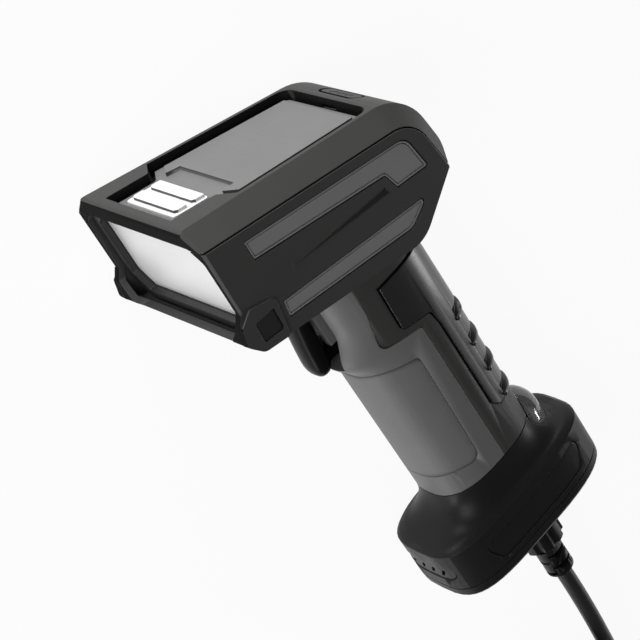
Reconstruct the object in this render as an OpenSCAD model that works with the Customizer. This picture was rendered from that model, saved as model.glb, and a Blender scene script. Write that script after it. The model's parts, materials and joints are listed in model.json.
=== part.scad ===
// Handheld barcode scanner: box head with a raked window, pistol grip with a trigger, flared base and cable.
// Drawn upright (x forward, y to its left, z up, top of the nose at the origin), then laid on its right side.

/* [Head] */
// Width of the head across the nose
head_w = 75; // [68:0.5:84]
// Height of the head from its flat top to its belly
head_h = 46.5; // [43:0.5:52]
// Length of the flat top, from the nose to where the rear rolls over
top_len = 82; // [78:0.5:92]
// Width of the flat top at the nose
top_w = 58.6; // [54:0.2:62]
// Height of the chamfer between the top and the sides
edge_drop = 7.1; // [5.5:0.1:8.5]
// Lean of each side wall towards the rear, in degrees
head_taper = 3.2; // [2:0.1:4]
// Radius of the roll at the rear of the top
roll_r = 20.6; // [17:0.2:23]
// Slope of the rear face below the roll, in degrees from level
rear_slope = 68; // [60:1:74]
// Wall of the mouldings
wall = 2.4; // [1.8:0.1:3]
// Shadow gap along the seams of the head and the base
seam = 0.45; // [0.2:0.05:0.7]
// Bevel along the edges of the nose
nose_bevel = 1.1; // [0.6:0.1:1.6]

/* [Nose] */
// Lean of the front face, in degrees: its foot is further back than its brow
nose_rake = 13; // [8:0.5:16]
// Height of the brow above the window opening
brow_h = 6.5; // [5:0.5:9]
// Width of the nose's frame beside the window opening
nose_side = 3.2; // [2.6:0.1:5]
// Distance from the top of the nose to the sill of the opening
sill_s = 44.2; // [40:0.2:45]
// Depth from the front face to the bezel
bezel_set = 2; // [1:0.1:3]
// Width of the bezel's visible step
bezel_w = 3.2; // [2.4:0.1:4.5]
// Thickness of the window
window_t = 1.8; // [1.2:0.1:2.4]
// Thickness of the gasket in front of the window
gasket_t = 0.8; // [0.5:0.1:1.2]
// How far the chin stands in front of the raked face
chin = 2.7; // [1.5:0.1:4]
// How far the corner lugs stand out from the sides
lug_proud = 1; // [0.5:0.1:1.6]

/* [Top] */
// Depth of the recess in the top
recess_d = 5.2; // [4.6:0.1:5.4]
// Groove left round the panel in the recess
groove_w = 1.7; // [1:0.1:2.4]
// Level of the panel below the top
panel_low = 1.6; // [1.2:0.1:2]
// Level of the ledge round the panel, below the top
step_low = 3; // [2.6:0.1:3.4]
// Distance from the recess to the raised part of the panel
panel_in = 4.4; // [3.4:0.1:5]
// Length and width of the status light
light_size = [14, 28.4]; // [12:0.1:32]
// Height of the two bars on the status light
light_bar = 1; // [0.5:0.1:1.4]
// Length of the sounder grille across the head
grille_l = 19; // [14:0.5:22]
// Width of the sounder grille
grille_w = 5; // [4:0.2:6]

/* [Sides] */
// Depth of the pockets that hold the side stripes
stripe_d = 1.4; // [1:0.1:1.8]
// Clearance round each inset piece
inset_gap = 0.2; // [0.1:0.05:0.3]

/* [Grip] */
// Lean of the grip, in degrees: its foot is further back than its top
grip_lean = 15; // [10:0.5:18]
// Place of the grip's axis behind the nose, along the leaned frame
grip_x = -54.5; // [-58:0.5:-51]
// Depth of the grip, front to back
grip_d = 46; // [42:0.5:50]
// Width of the grip
grip_w = 34; // [31:0.5:38]
// Thickness of the grip's outer shells
skin = 2.4; // [2:0.1:3]
// Wall of the grip frame inside the shells
frame_wall = 2; // [1.6:0.1:2.4]
// Thickness of the rubber pad on the grip
pad_t = 1.2; // [0.8:0.1:1.6]
// Number of ribs on the rear spine
rib_count = 4; // [2:1:5]
// Spacing of the ribs
rib_pitch = 12.65; // [10:0.05:14]

/* [Trigger] */
// Width of the trigger
trigger_w = 11.5; // [10:0.5:13]
// Radius of the trigger pin
pin_r = 1.5; // [1.2:0.1:1.8]
// Running clearance of the trigger on its pin, on the radius
pin_play = 0.05; // [0.02:0.01:0.08]
// Side clearance between the trigger and its ears
ear_play = 0.4; // [0.3:0.05:0.6]

/* [Base] */
// Length of the base, front to back
base_l = 78.5; // [72:0.5:84]
// Width of the base
base_w = 45; // [42:0.5:50]
// Distance along the grip from the head's top to the base's brim
brim_s = 181; // [172:0.5:190]
// Height of the straight sides under the brim
side_h = 17; // [14:0.5:20]
// Thickness of the bottom plate
plate_t = 5; // [4:0.2:6]
// Radius of the rear lens
lens_r = 11.5; // [9.5:0.1:12.5]
// Radius of the base screws
screw_r = 1.5; // [1.2:0.1:2]

/* [Cable] */
// Diameter of the cable
cable_d = 6.5; // [5.5:0.1:7.5]
// Outer diameter of the strain relief
relief_d = 11; // [10:0.2:12.5]
// Length of the strain relief below its gland
relief_l = 18; // [14:0.5:24]
// Outer radius of the gland nut
gland_r = 8.8; // [7.5:0.1:10]
// Length of the gland nut and its collar
gland_l = 19; // [16:0.5:24]

/* [Hidden] */
$fn = 48;

// General shapes
big = 300;
eps = 0.01;
function unit(v) = v / norm(v);
function flat(p) = [p[0], p[1]];
function corner_points(a, b, c, n) =
    let (u = unit(flat(a) - flat(b)), v = unit(flat(c) - flat(b)), half = acos(u * v) / 2, r = b[2])
    r <= 0 ? [flat(b)] :
    let (o = flat(b) + unit(u + v) * r / sin(half), p = flat(b) + u * r / tan(half) - o,
         q = flat(b) + v * r / tan(half) - o, a0 = atan2(p[1], p[0]),
         turn = (atan2(q[1], q[0]) - a0 + 540) % 360 - 180)
    [for (i = [0:n]) o + r * [cos(a0 + turn * i / n), sin(a0 + turn * i / n)]];
// Outline through corners given as [x, y, radius]
function rounded(p, n = 6) = let (k = len(p))
    [for (i = [0:k - 1]) each corner_points(p[(i + k - 1) % k], p[i], p[(i + 1) % k], n)];
function signed_pow(v, e) = sign(v) * pow(abs(v), e);
// Superellipse with half lengths a and b
function oval(a, b, n, count = 48) = [for (i = [0:count - 1]) let (t = 360 * i / count)
    [a * signed_pow(cos(t), 2 / n), b * signed_pow(sin(t), 2 / n)]];
// Skin over a stack of rings with the same number of points, from the top down; a closed one joins its ends
module loft(rings, closed = false) {
    n = len(rings[0]);
    m = len(rings);
    polyhedron(
        points = [for (r = rings) each r],
        faces = concat(
            closed ? [] : [[for (i = [n - 1:-1:0]) i], [for (i = [0:n - 1]) (m - 1) * n + i]],
            [for (k = [0:closed ? m - 1 : m - 2]) for (i = [0:n - 1])
                let (a = k * n + i, b = k * n + (i + 1) % n, c = (k + 1) % m * n + i, d = (k + 1) % m * n + (i + 1) % n)
                each [[a, b, c], [b, d, c]]]));
}
// Round tube swept along a list of points
function along(p, i) = unit(p[min(i + 1, len(p) - 1)] - p[max(i - 1, 0)]);
function sideways(p, i) = let (t = along(p, i), up = abs(t[2]) < 0.9 ? [0, 0, 1] : [1, 0, 0])
    unit(cross(up, t));
module sweep(p, r, sides) {
    loft([for (i = [0:len(p) - 1]) let (s = sideways(p, i), u = cross(along(p, i), s))
        [for (k = [0:sides - 1]) p[i] - r * (cos(360 * k / sides) * s - sin(360 * k / sides) * u)]]);
}
module below(z) {
    translate([-big / 2, -big / 2, z - big]) cube(big);
}
// Outline in x and z, extruded across the whole width
module across(w = big) {
    rotate([90, 0, 0]) linear_extrude(w, center = true) children();
}

// Places: the raked nose, the leaned grip and the tapered sides
module nose() {
    rotate([0, nose_rake, 0]) rotate([90, 0, 90]) children();
}
module grip() {
    rotate([0, grip_lean, 0]) children();
}
// Drawing plane of a side wall: z runs into the head
module on_side(right = false) {
    mirror([0, right ? 1 : 0, 0]) translate([0, head_w / 2, 0]) rotate([0, 0, head_taper])
        rotate([90, 0, 0]) children();
}
module both_sides() {
    for (right = [false, true]) on_side(right) children();
}
function nose_x(z) = z * tan(nose_rake);
function half_at(x) = head_w / 2 + x * tan(head_taper);

// Head outline in side view
chamfer_angle = atan2(edge_drop, (head_w - top_w) / 2);
roll_corner = -top_len - roll_r * tan(rear_slope / 2);
roll_steps = 12;
ridge_drop = 23.2;
ridge = [roll_corner - ridge_drop / tan(rear_slope), -ridge_drop];
rear_foot = [ridge[0] + head_h - ridge_drop, -head_h];
chin_top = 31;
lug_top = 35.4;
lug_foot = 42;
chin_x = nose_x(-lug_top) + chin;
head_corners = [[0, 0, 1.8], [roll_corner, 0, roll_r], [ridge[0], ridge[1], 4], [rear_foot[0], -head_h, 14],
    [nose_x(-head_h), -head_h, 4], [chin_x, -lug_foot, 2.5], [chin_x, -lug_top, 1.5],
    [nose_x(-chin_top), -chin_top, 1.5]];
// Side view of what lies below the cover's seam
function below_seam(lift) = rounded([[20, lift - edge_drop, 0],
    [roll_corner + (edge_drop - lift) * tan(rear_slope / 2), lift - edge_drop, roll_r - edge_drop + lift],
    [roll_corner + (edge_drop - lift) * tan(rear_slope / 2) - 90 / tan(rear_slope), -90, 0], [20, -90, 0]], roll_steps);
// Section of the cover's corner at inset i, as depth below the skin and half width
function chamfer_section(i, half_top, half_side) = [
    [i, half_top - i * tan(chamfer_angle / 2)],
    [edge_drop + i * tan(45 - chamfer_angle / 2), half_side - i]];

module side_prism(i) {
    s = chamfer_section(i, top_w / 2, head_w / 2);
    rotate([0, 0, head_taper]) translate([-big / 2, 0, 0]) rotate([90, 0, 90]) linear_extrude(big)
        polygon([[-big, -i], [s[0][1], -i], [s[1][1], -s[1][0]], [s[1][1], -90], [-big, -90]]);
}
// What the chamfer takes off along the rear roll and the rear face: its section at angle a round the roll, then l further
function roll_section(i, a, l) =
    let (n = [-sin(a), cos(a)], c = [-top_len, -roll_r] - l * [cos(a), sin(a)],
         lean = function (w, d) w / 2 / cos(head_taper) + (c + (roll_r - d) * n)[0] * tan(head_taper),
         s = chamfer_section(i, lean(top_w, 0), lean(head_w, edge_drop)),
         p = [roll_r - s[0][0], s[0][1]], q = [roll_r - s[1][0], s[1][1]],
         high = p + 0.6 * (p - q), low = q + 0.2 * (q - p))
    [for (v = [low, [low[0], 70], [high[0], 70], high]) let (w = c + v[0] * n) [w[0], v[1], w[1]]];
module rear_chamfer(i) {
    for (m = [0, 1]) mirror([0, m, 0]) loft(concat(
        [for (k = [0:roll_steps]) roll_section(i, rear_slope * k / roll_steps, 0)], [roll_section(i, rear_slope, 60)]));
}
module head_block(i = 0) {
    difference() {
        intersection() {
            across() offset(delta = -i) polygon(rounded(head_corners, roll_steps));
            side_prism(i);
            mirror([0, 1, 0]) side_prism(i);
        }
        rear_chamfer(i);
    }
}
module head_cavity(top) {
    intersection() {
        head_block(wall);
        translate([-big / 2, -big / 2, -90]) cube([big, big, 90 - top]);
    }
}
// What the bevel takes off along the nose: beside the chamfers and the side walls
module nose_edges() {
    for (m = [0, 1]) mirror([0, m, 0]) nose() for (e = [[[top_w / 2, 0], [-30, 30], 90 - chamfer_angle],
        [[head_w / 2, 0], [-chin_top - 1, -3], 0]])
        translate(e[0]) rotate(e[2]) translate([-nose_bevel, 0, 0]) rotate([0, -45, 0])
            translate([0, e[1][0], -20]) cube([20, e[1][1] - e[1][0], 40]);
}
module below_the_seam(lift = 0) {
    across() polygon(below_seam(lift));
}

// Window opening, drawn on the nose
opening_corners = let (w = head_w / 2 - nose_side) [[-w + 5, -brow_h, 1], [w - 5, -brow_h, 1], [w, -brow_h - 5, 3],
    [w, 8 - sill_s, 5], [w - 7, -sill_s, 4], [7 - w, -sill_s, 4], [-w, 8 - sill_s, 5], [-w, -brow_h - 5, 3]];
module opening(i = 0) {
    offset(delta = -i) polygon(rounded(opening_corners, 4));
}
module ring_of(outer, inner, from, to) {
    translate([0, 0, -to]) linear_extrude(to - from) difference() {
        opening(outer);
        opening(inner);
    }
}
rebate = 1.5;
bezel_foot = bezel_set + 2 + gasket_t + window_t;
module window_bezel() {
    color("#161616") intersection() {
        nose() {
            ring_of(inset_gap, bezel_w, bezel_set, bezel_set + 2);
            ring_of(inset_gap, rebate, bezel_set + 2, bezel_foot);
        }
        below(-recess_d - recess_floor - inset_gap);
    }
}
module window_gasket() {
    color("#0c0c0c") nose() ring_of(rebate + inset_gap, bezel_w, bezel_set + 2, bezel_set + 2 + gasket_t);
}
module scan_window() {
    color("#cdcdcd") nose() translate([0, 0, -bezel_foot]) linear_extrude(window_t)
        opening(rebate + inset_gap);
}

// Recess in the top, and the panel in it
slot_half = 19.5;
slot_front = -4.5;
wide_half = 26.3;
wide_front = -25.8;
recess_rear = -top_len - 0.5;
recess_corners = let (h = wide_half + (recess_rear - wide_front) * tan(head_taper)) [[slot_front, -slot_half, 0.8],
    [slot_front, slot_half, 0.8], [wide_front + 4, slot_half, 1], [wide_front, wide_half, 1],
    [recess_rear, h, 4.5], [recess_rear, -h, 4.5], [wide_front, -wide_half, 1], [wide_front + 4, -slot_half, 1]];
module recess(i = 0) {
    offset(delta = -i) polygon(rounded(recess_corners, 5));
}
recess_floor = 0.6;
module nose_tunnel() {
    intersection() {
        nose() translate([0, 0, -20]) linear_extrude(30) opening();
        below(-recess_d - recess_floor);
    }
}
module recess_cut() {
    translate([0, 0, -recess_d]) linear_extrude(recess_d + 5) recess();
}
notch_half = 15.5;
wing_front = -26.2;
notch_rear = -31.5;
module panel_plan() {
    intersection() {
        recess(panel_in);
        polygon([[notch_rear, notch_half], [wing_front, notch_half + 1], [notch_rear + 1, 24], [notch_rear - 2, 40],
            [-big, 40], [-big, -40], [notch_rear - 2, -40], [notch_rear + 1, -24], [wing_front, -notch_half - 1],
            [notch_rear, -notch_half]]);
    }
}
light_front = -8.4;
module light_plan(grow = 0) {
    translate([light_front - light_size[0] / 2, 0]) offset(delta = grow)
        polygon(rounded([for (c = [[1, 1], [-1, 1], [-1, -1], [1, -1]])
            [c[0] * light_size[0] / 2, c[1] * light_size[1] / 2, 1.4]], 4));
}
light_t = 1.2;
light_top = 0.9;
module top_panel() {
    color("#8f8f8f") difference() {
        union() {
            translate([0, 0, -recess_d]) linear_extrude(recess_d - step_low) recess(groove_w);
            translate([0, 0, -recess_d]) linear_extrude(recess_d - panel_low) panel_plan();
        }
        translate([0, 0, -step_low - light_t]) linear_extrude(10) light_plan(inset_gap / 2);
    }
}
bar_w = 4.6;
bar_gap = 7;
module status_light() {
    bar_half = light_size[1] / 2 - 1.4;
    color("#fbfbfb") {
        translate([0, 0, -step_low - light_t]) linear_extrude(light_t + light_top) light_plan();
        for (i = [0, 1]) translate([light_front - 1.8 - i * bar_gap - bar_w / 2, 0, light_top - step_low])
            linear_extrude(light_bar) polygon(rounded([[bar_w / 2, bar_half - 1, 0.4], [bar_w / 2 - 1, bar_half, 0.4],
                [-bar_w / 2, bar_half, 0.4], [-bar_w / 2, -bar_half, 0.4], [bar_w / 2 - 1, -bar_half, 0.4],
                [bar_w / 2, 1 - bar_half, 0.4]], 3));
    }
}

// Sounder grille, set in the roll at the rear of the top
grille_angle = 19;
grille_d = 2;
module on_roll() {
    translate([-top_len, 0, -roll_r]) rotate([0, -grille_angle, 0]) translate([0, 0, roll_r]) children();
}
module pill(l, w) {
    square([w, l - w], center = true);
    for (s = [1, -1]) translate([0, s * (l - w) / 2]) circle(d = w);
}
sounder_r = 6;
module sounder_grille() {
    slot_l = 3.4;
    color("#5e5e5c") on_roll() difference() {
        translate([0, 0, -grille_d]) linear_extrude(grille_d - 0.15) pill(grille_l, grille_w);
        for (i = [-1:1]) translate([0, i * grille_l / 4.5, -grille_d - 1]) linear_extrude(grille_d + 2)
            rotate(25) pill(slot_l, 0.9);
    }
}
module sounder() {
    color("#202020") on_roll() translate([0, 0, -wall - 6.4]) cylinder(r = sounder_r, h = 4.6);
}

// Head cover and housing
module head_cover() {
    color("#4a4a48") difference() {
        head_block();
        below_the_seam(seam);
        recess_cut();
        nose_tunnel();
        nose_edges();
        on_roll() translate([0, 0, -grille_d]) linear_extrude(10) pill(grille_l + 2, grille_w + 2);
        on_roll() translate([0, 0, -10]) linear_extrude(10) pill(grille_l - 4, grille_w - 2);
        on_roll() translate([0, 0, -30]) cylinder(r = sounder_r + 0.3, h = 28.8 - wall);
    }
}
stripe_front = -16.4;
upper_stripe = [[stripe_front, -10.5, 0.8], [stripe_front - 1.9, -18, 0.8], [-74.3, -18.6, 1], [-77.8, -24.6, 1],
    [-92.4, -23.9, 0.8], [-86.6, -10.4, 6]];
lower_stripe = [[-23.2, -35.4, 0.8], [-23.8, -41.8, 0.8], [-79.5, -40.2, 7], [-86.9, -34.4, 1.6], [-85.9, -32.4, 1]];
pad_corners = [[-10.4, -36.2, 1], [-11.8, -43.8, 1], [-20.4, -43.2, 1], [-18.8, -34.9, 1]];
lug_rear = -21.5;
lug_corners = [[chin_x, -lug_top, 1.5], [chin_x, -lug_foot, 2.5], [nose_x(-head_h), -head_h, 4],
    [lug_rear, -head_h, 1], [lug_rear + 1, -chin_top - 1, 2], [nose_x(-chin_top) - 3, -chin_top, 1]];
// Shallow scoop between the stripes: a valley that deepens towards the rear
scoop_low = [[-31, -28.5], [-74.4, -24.4]];
scoop_high = [[-31, -25.6], [-73, -21.6]];
scoop_d = 1.4;
module scoop_cut() {
    mouth = [scoop_low[0], scoop_low[1], scoop_high[1], scoop_high[0]];
    valley = [for (k = [1, 0]) scoop_low[k] + 0.4 * (scoop_high[k] - scoop_low[k])];
    polyhedron(points = concat([for (z = [-2, 0]) each [for (p = mouth) [p[0], p[1], z]]],
        [[valley[0][0], valley[0][1], scoop_d], [valley[1][0], valley[1][1], 0.1]]),
        faces = [[3, 2, 1, 0], [0, 1, 5, 4], [1, 2, 6, 8, 5], [6, 2, 3, 7], [9, 7, 3, 0, 4], [9, 4, 5], [8, 9, 5],
            [9, 8, 6], [7, 9, 6]]);
}
module side_cut(p, depth, grow = 0) {
    translate([0, 0, -5]) linear_extrude(5 + depth) offset(delta = grow) polygon(rounded(p, 4));
}
module head_housing() {
    color("#363636") difference() {
        union() {
            intersection() {
                head_block();
                below_the_seam(-0.05);
            }
            both_sides() translate([0, 0, -lug_proud]) linear_extrude(lug_proud + wall)
                polygon(rounded(lug_corners, 4));
        }
        head_cavity(edge_drop - 1);
        nose_tunnel();
        nose_edges();
        both_sides() {
            side_cut(upper_stripe, stripe_d);
            side_cut(lower_stripe, stripe_d);
            scoop_cut();
            side_cut(pad_corners, 0.6);
        }
        grip() translate([0, 0, -70]) linear_extrude(60) grip_plan(skin - inset_gap);
        grip() translate([lever_back - 5, -trigger_w / 2 - trigger_room, -75])
            cube([grip_front + 3 - lever_back + 5, trigger_w + 2 * trigger_room, 60]);
        grip() ear_pair(1);
    }
}
// Stripe in its pocket, from the outside in: a thin rim, a groove and the field
stripe_steps = [[0.4, 0.25], [0.95, 0.8], [1.3, 0.5]];
module stripe(p, right) {
    color("#636363") on_side(right) for (k = [0:2]) translate([0, 0, stripe_steps[k][1]])
        linear_extrude(stripe_d - stripe_steps[k][1]) difference() {
            offset(delta = -stripe_steps[k][0]) polygon(rounded(p, 4));
            if (k < 2) offset(delta = -stripe_steps[k + 1][0]) polygon(rounded(p, 4));
        }
}
module lug_pads() {
    color("#1c1c1c") both_sides() translate([0, 0, -lug_proud + 0.4]) linear_extrude(lug_proud + 0.2)
        offset(delta = -inset_gap) polygon(rounded(pad_corners, 3));
}

// Grip: frame, front shell with its rubber pad, rear spine
grip_square = 2.7;
grip_bottom = 14.5;
grip_end = brim_s - grip_bottom;
module grip_plan(i = 0) {
    translate([grip_x, 0]) polygon(oval(grip_d / 2 - i, grip_w / 2 - i, grip_square));
}
module grip_ring(from, to) {
    translate([0, 0, -brim_s]) linear_extrude(brim_s - 40) difference() {
        grip_plan(from);
        grip_plan(to);
    }
}
grip_front = grip_x + grip_d / 2;
grip_back = grip_x - grip_d / 2;
shell_top_x = grip_x + 12;
shell_step = 98;
shell_edge = grip_x - 2;
// Side view of the front shell, in the grip's frame
shell_corners = [[20, -30, 0], [shell_top_x, -30, 0], [shell_top_x, -shell_step + 16, 25],
    [shell_top_x + 3, -shell_step + 1, 3.5], [shell_edge, -shell_step - 3, 1.5],
    [shell_edge, -grip_end - 4, 0], [20, -grip_end - 4, 0]];
pad_edge = grip_x + 5;
pad_top = 105;
pad_foot = 158;
pad_shape = [[20, -pad_top, 0], [grip_front - 3, -pad_top, 10], [pad_edge, -pad_top - 4, 2.5],
    [pad_edge + 1, -pad_foot - 1, 3], [grip_front - 6, -pad_foot + 1, 12], [20, -pad_foot + 8, 0]];
spine_edge = grip_x - 9;
spine_top = 77.5;
rib_first = 107;
rib_h = 5;
rib_margin = 0.05;
spine_foot = rib_first + (rib_count - 1) * rib_pitch + rib_h + rib_margin;
spine_corners = [[-120, -spine_top, 0], [grip_x + 3.7, -spine_top, 0], [grip_x + 4.3, -shell_step + 2, 1.5],
    [spine_edge + 1, -shell_step - 1, 3], [spine_edge, -shell_step - 8, 4], [spine_edge, -spine_foot + 3, 2],
    [spine_edge - 3, -spine_foot, 1], [-120, -spine_foot, 0]];
module side_view(p, grow = 0) {
    across() offset(delta = grow) polygon(rounded(p, 5));
}
trigger_room = 1.6;
spine_gap = 0.7;
module grip_frame() {
    color("#242424") difference() {
        union() {
            difference() {
                union() {
                    intersection() {
                        grip() grip_ring(0, skin);
                        below(-head_h - 0.3);
                    }
                    intersection() {
                        grip() grip_ring(skin, skin + frame_wall);
                        below(6 - head_h);
                    }
                }
                grip() intersection() {
                    grip_ring(-5, skin);
                    union() {
                        side_view(shell_corners, inset_gap);
                        side_view(spine_corners, spine_gap);
                    }
                }
                grip() translate([-120, -60, -brim_s - 60]) cube([240, 120, 60 + brim_s - grip_end]);
            }
            intersection() {
                grip() ear_pair(0);
                below(9.8 - head_h);
            }
            grip() spring_seat();
        }
        grip() translate([0, 0, -trigger_foot - trigger_room]) linear_extrude(60) trigger_plan(trigger_room);
        grip() pin_bore(0.02);
    }
}
// Lip of the front shell under the trigger: there the front of the oval is drawn forward, most at lip_mid
lip_top = 84;
lip_mid = 97;
lip_foot = 104.4;
lip_l = 4.6;
lip_rings = [40, lip_top, 87, 90, 93, 95, lip_mid, 99, 101, 103, lip_foot, brim_s];
function ease(t) = t <= 0 || t >= 1 ? 0 : t * t * (3 - 2 * t);
function lip_reach(s) = s == lip_mid ? lip_l :
    lip_l * ease(s < lip_mid ? (s - lip_top) / (lip_mid - lip_top) : (lip_foot - s) / (lip_foot - lip_mid));
function shell_section(s) = [for (p = oval(grip_d / 2, grip_w / 2, grip_square))
    [grip_x + p[0] + (p[0] > 0 ? lip_reach(s) * pow(p[0] / (grip_d / 2), 2) : 0), p[1], -s]];
module grip_shell() {
    color("#5b5b5b") difference() {
        grip() intersection() {
            loft([for (k = lip_rings) shell_section(k)]);
            side_view(shell_corners);
        }
        grip() translate([0, 0, -brim_s - 1]) linear_extrude(brim_s) grip_plan(skin);
        translate([0, 0, big / 2 - head_h - 0.3]) cube(big, center = true);
        grip() intersection() {
            grip_ring(-5, pad_t);
            side_view(pad_shape, inset_gap);
        }
        grip() translate([0, 0, -trigger_foot - trigger_room]) linear_extrude(60) trigger_plan(trigger_room);
        grip() ear_pair(inset_gap);
        grip() below(-grip_end);
    }
}
module grip_pad() {
    color("#646464") grip() intersection() {
        grip_ring(0, pad_t);
        side_view(pad_shape);
    }
}
rib_d = 1.6;
spine_proud = 0.5;
module back_spine() {
    color("#1d1d1d") difference() {
        union() {
            grip() intersection() {
                grip_ring(-spine_proud, skin);
                side_view(spine_corners);
            }
            for (i = [0:rib_count - 1]) grip() rib(rib_first + i * rib_pitch, 1.1, rib_h - 1.3, rib_h);
        }
        translate([0, 0, big / 2 - head_h - 0.3]) cube(big, center = true);
        for (i = [0:rib_count - 1]) grip() rib(rib_first + i * rib_pitch, 5, 0, rib_h - 1.3, rib_d);
    }
}
// Band round the rear of the spine, from one level to another below a rib's top
module rib(s, proud, from, to, sunk = 0.5) {
    intersection() {
        translate([0, 0, -s - to]) linear_extrude(to - from) difference() {
            grip_plan(-proud);
            grip_plan(sunk - spine_proud);
        }
        translate([grip_back - 20, -20, -big]) cube([20 + 7.5, 40, big]);
    }
}

// Trigger: finger piece, lever, pin, spring, switch
pin_at = [grip_front - 1, -51];
hub_r = 4;
trigger_foot = 96.2;
trigger_nose = grip_front + 11.2;
lever_back = grip_front - 5.5;
trunk_top = 88;
ear_t = 2.5;
module trigger_plan(grow = 0) {
    offset(delta = grow) polygon(rounded([[trigger_nose, trigger_w / 2, 4.5], [lever_back - 4, trigger_w / 2, 0],
        [lever_back - 4, -trigger_w / 2, 0], [trigger_nose, -trigger_w / 2, 4.5]], 6));
}
module pin_bore(play) {
    translate([pin_at[0], 0, pin_at[1]]) rotate([90, 0, 0]) cylinder(r = pin_r + play, h = 60, center = true);
}
module ear_pair(grow) {
    for (s = [1, -1]) translate([0, s * (trigger_w / 2 + ear_play + ear_t / 2), 0]) across(ear_t + 2 * grow)
        offset(delta = grow) polygon(rounded([[pin_at[0] + hub_r, pin_at[1] + hub_r, 3.9],
            [pin_at[0] - hub_r, pin_at[1] + hub_r, 3.9], [pin_at[0] - 8, -62, 1], [pin_at[0] - 8, -72, 1],
            [pin_at[0] - 2.6, -72, 1], [pin_at[0] + hub_r, -58, 2]], 4));
}
// Sections down the finger piece, from its top to its rounded tip
finger_top = 57;
finger_rings = 16;
tip_l = 6;
function finger_section(u) =
    let (s = finger_top + (trigger_foot - finger_top) * u, left = trigger_foot - s,
         tip = left < tip_l ? sqrt(1 - pow(1 - left / tip_l, 2)) : 1,
         front = trigger_nose - 6.5 * pow(1 - u, 1.6),
         back = grip_front + 1.2 + 2.2 * u * u,
         half = trigger_w / 2 * (0.4 + 0.6 * tip))
    [for (p = oval((front - back) / 2 * (0.35 + 0.65 * tip), half, 2.6, 28)) [p[0] + (front + back) / 2, p[1], -s]];
module trigger() {
    color("#151515") grip() {
        loft([for (k = [0:finger_rings]) finger_section(1 - pow(1 - k / finger_rings, 1.5))]);
        translate([lever_back, -trigger_w / 2 + 1, -trigger_foot + 4])
            cube([grip_front + 5 - lever_back, trigger_w - 2, trigger_foot - 4 - trunk_top]);
    }
}
nub_l = 2.9;
switch_s = 76;
module trigger_lever() {
    half = trigger_w / 2 - 0.7;
    color("#575757") grip() difference() {
        union() {
            translate([pin_at[0], 0, pin_at[1]]) rotate([90, 0, 0]) cylinder(r = hub_r, h = trigger_w, center = true);
            across(trigger_w - 1.4) polygon([[grip_front + 1.2, pin_at[1]], [grip_front + 1.2, -trunk_top],
                [lever_back, -trunk_top], [lever_back, pin_at[1] - 3], [pin_at[0] - 2, pin_at[1]]]);
            translate([lever_back - nub_l, -2, -switch_s - 2]) cube([nub_l + 1, 4, 4]);
        }
        pin_bore(pin_play);
        translate([grip_front + 1.2, -half - 1, -120]) cube([20, 2 * half + 2, 120 - 56.9]);
    }
}
module trigger_pin() {
    reach = trigger_w + 2 * (ear_play + ear_t);
    color("#b9bbbd") grip() translate([pin_at[0], 0, pin_at[1]]) rotate([90, 0, 0])
        cylinder(r = pin_r, h = reach, center = true);
}
// Compression spring between the lever and a web in the frame
spring_s = 66;
spring_r = 2.6;
wire_r = 0.35;
spring_turns = 4;
seat_x = lever_back - 7.5;
module spring_seat() {
    intersection() {
        translate([seat_x - 2, -grip_w / 2, -spring_s - 3.4]) cube([2, grip_w, 6.8]);
        translate([0, 0, -big]) linear_extrude(big) grip_plan(skin);
    }
}
module trigger_spring() {
    steps = spring_turns * 10;
    l = lever_back - seat_x - 2 * wire_r - 0.1;
    color("#c4c6c8") grip() translate([seat_x + wire_r + 0.05, 0, -spring_s])
        sweep([for (i = [0:steps]) [l * i / steps, spring_r * cos(i * 36), spring_r * sin(i * 36)]], wire_r, 6);
}
board_x = grip_x + 2;
board_t = 1.6;
board_top = 70;
board_foot = 150;
module main_board() {
    w = grip_w / 2 - skin - frame_wall - 0.3;
    color("#1f5a36") grip() {
        translate([board_x, -w, -board_foot]) cube([board_t, 2 * w, board_foot - board_top]);
        for (s = [92, 112, 130]) translate([board_x - 2.2, -6, -s - 9]) cube([2.2 + eps, 12, 9]);
    }
}
module trigger_switch() {
    tip = lever_back - nub_l - 3.1;
    color("#2b2b2e") grip() {
        translate([board_x + board_t, -6.4, -switch_s - 3]) cube([tip - 2 - board_x - board_t, 12.8, 6]);
        translate([board_x + board_t, -1.4, -switch_s - 1.4]) cube([tip - board_x - board_t, 2.8, 2.8]);
    }
}

// Base: flared housing, bottom plate, inset panels
base_x = grip_x + 0.4;
base_square = 3.4;
brim_rise = 2;
brim_in = 1.8;
base_foot = brim_s + side_h;
base_bottom = base_foot + plate_t;
cable_x = grip_x - 3.9;
// Ring of the base at a level: blends from the grip's section to the base's outline
function base_ring(s, blend, i, brim = 0) = [for (k = [0:47]) let (t = 360 * k / 48, narrow = 0.95 + 0.05 * cos(t),
    g = [grip_x + (grip_d / 2 - i) * signed_pow(cos(t), 2 / grip_square),
         (grip_w / 2 - i) * signed_pow(sin(t), 2 / grip_square)],
    b = [base_x + (base_l / 2 - i - brim) * signed_pow(cos(t), 2 / base_square),
         (base_w / 2 - i - brim) * narrow * signed_pow(sin(t), 2 / base_square)],
    p = g + (b - g) * blend) [p[0], p[1], -s]];
flare_steps = 7;
flare_top = grip_end + 0.3;
function flare(i, low) = [for (k = [0:flare_steps]) let (u = k / flare_steps)
    base_ring(flare_top + (brim_s - brim_rise - flare_top) * sin(90 * u) + low * u, 1 - cos(90 * u), i, brim_in)];
function reversed(p) = [for (k = [len(p) - 1:-1:0]) p[k]];
module base_plan(i = 0) {
    polygon([for (p = base_ring(0, 1, i)) [p[0], p[1]]]);
}
screw_places = [for (s = [1, -1]) each [[grip_x + 29, 12 * s], [grip_x - 27, 10 * s]]];
screw_l = 11;
panel_top = brim_s + 3.4;
panel_foot = base_foot - 2.4;
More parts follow.
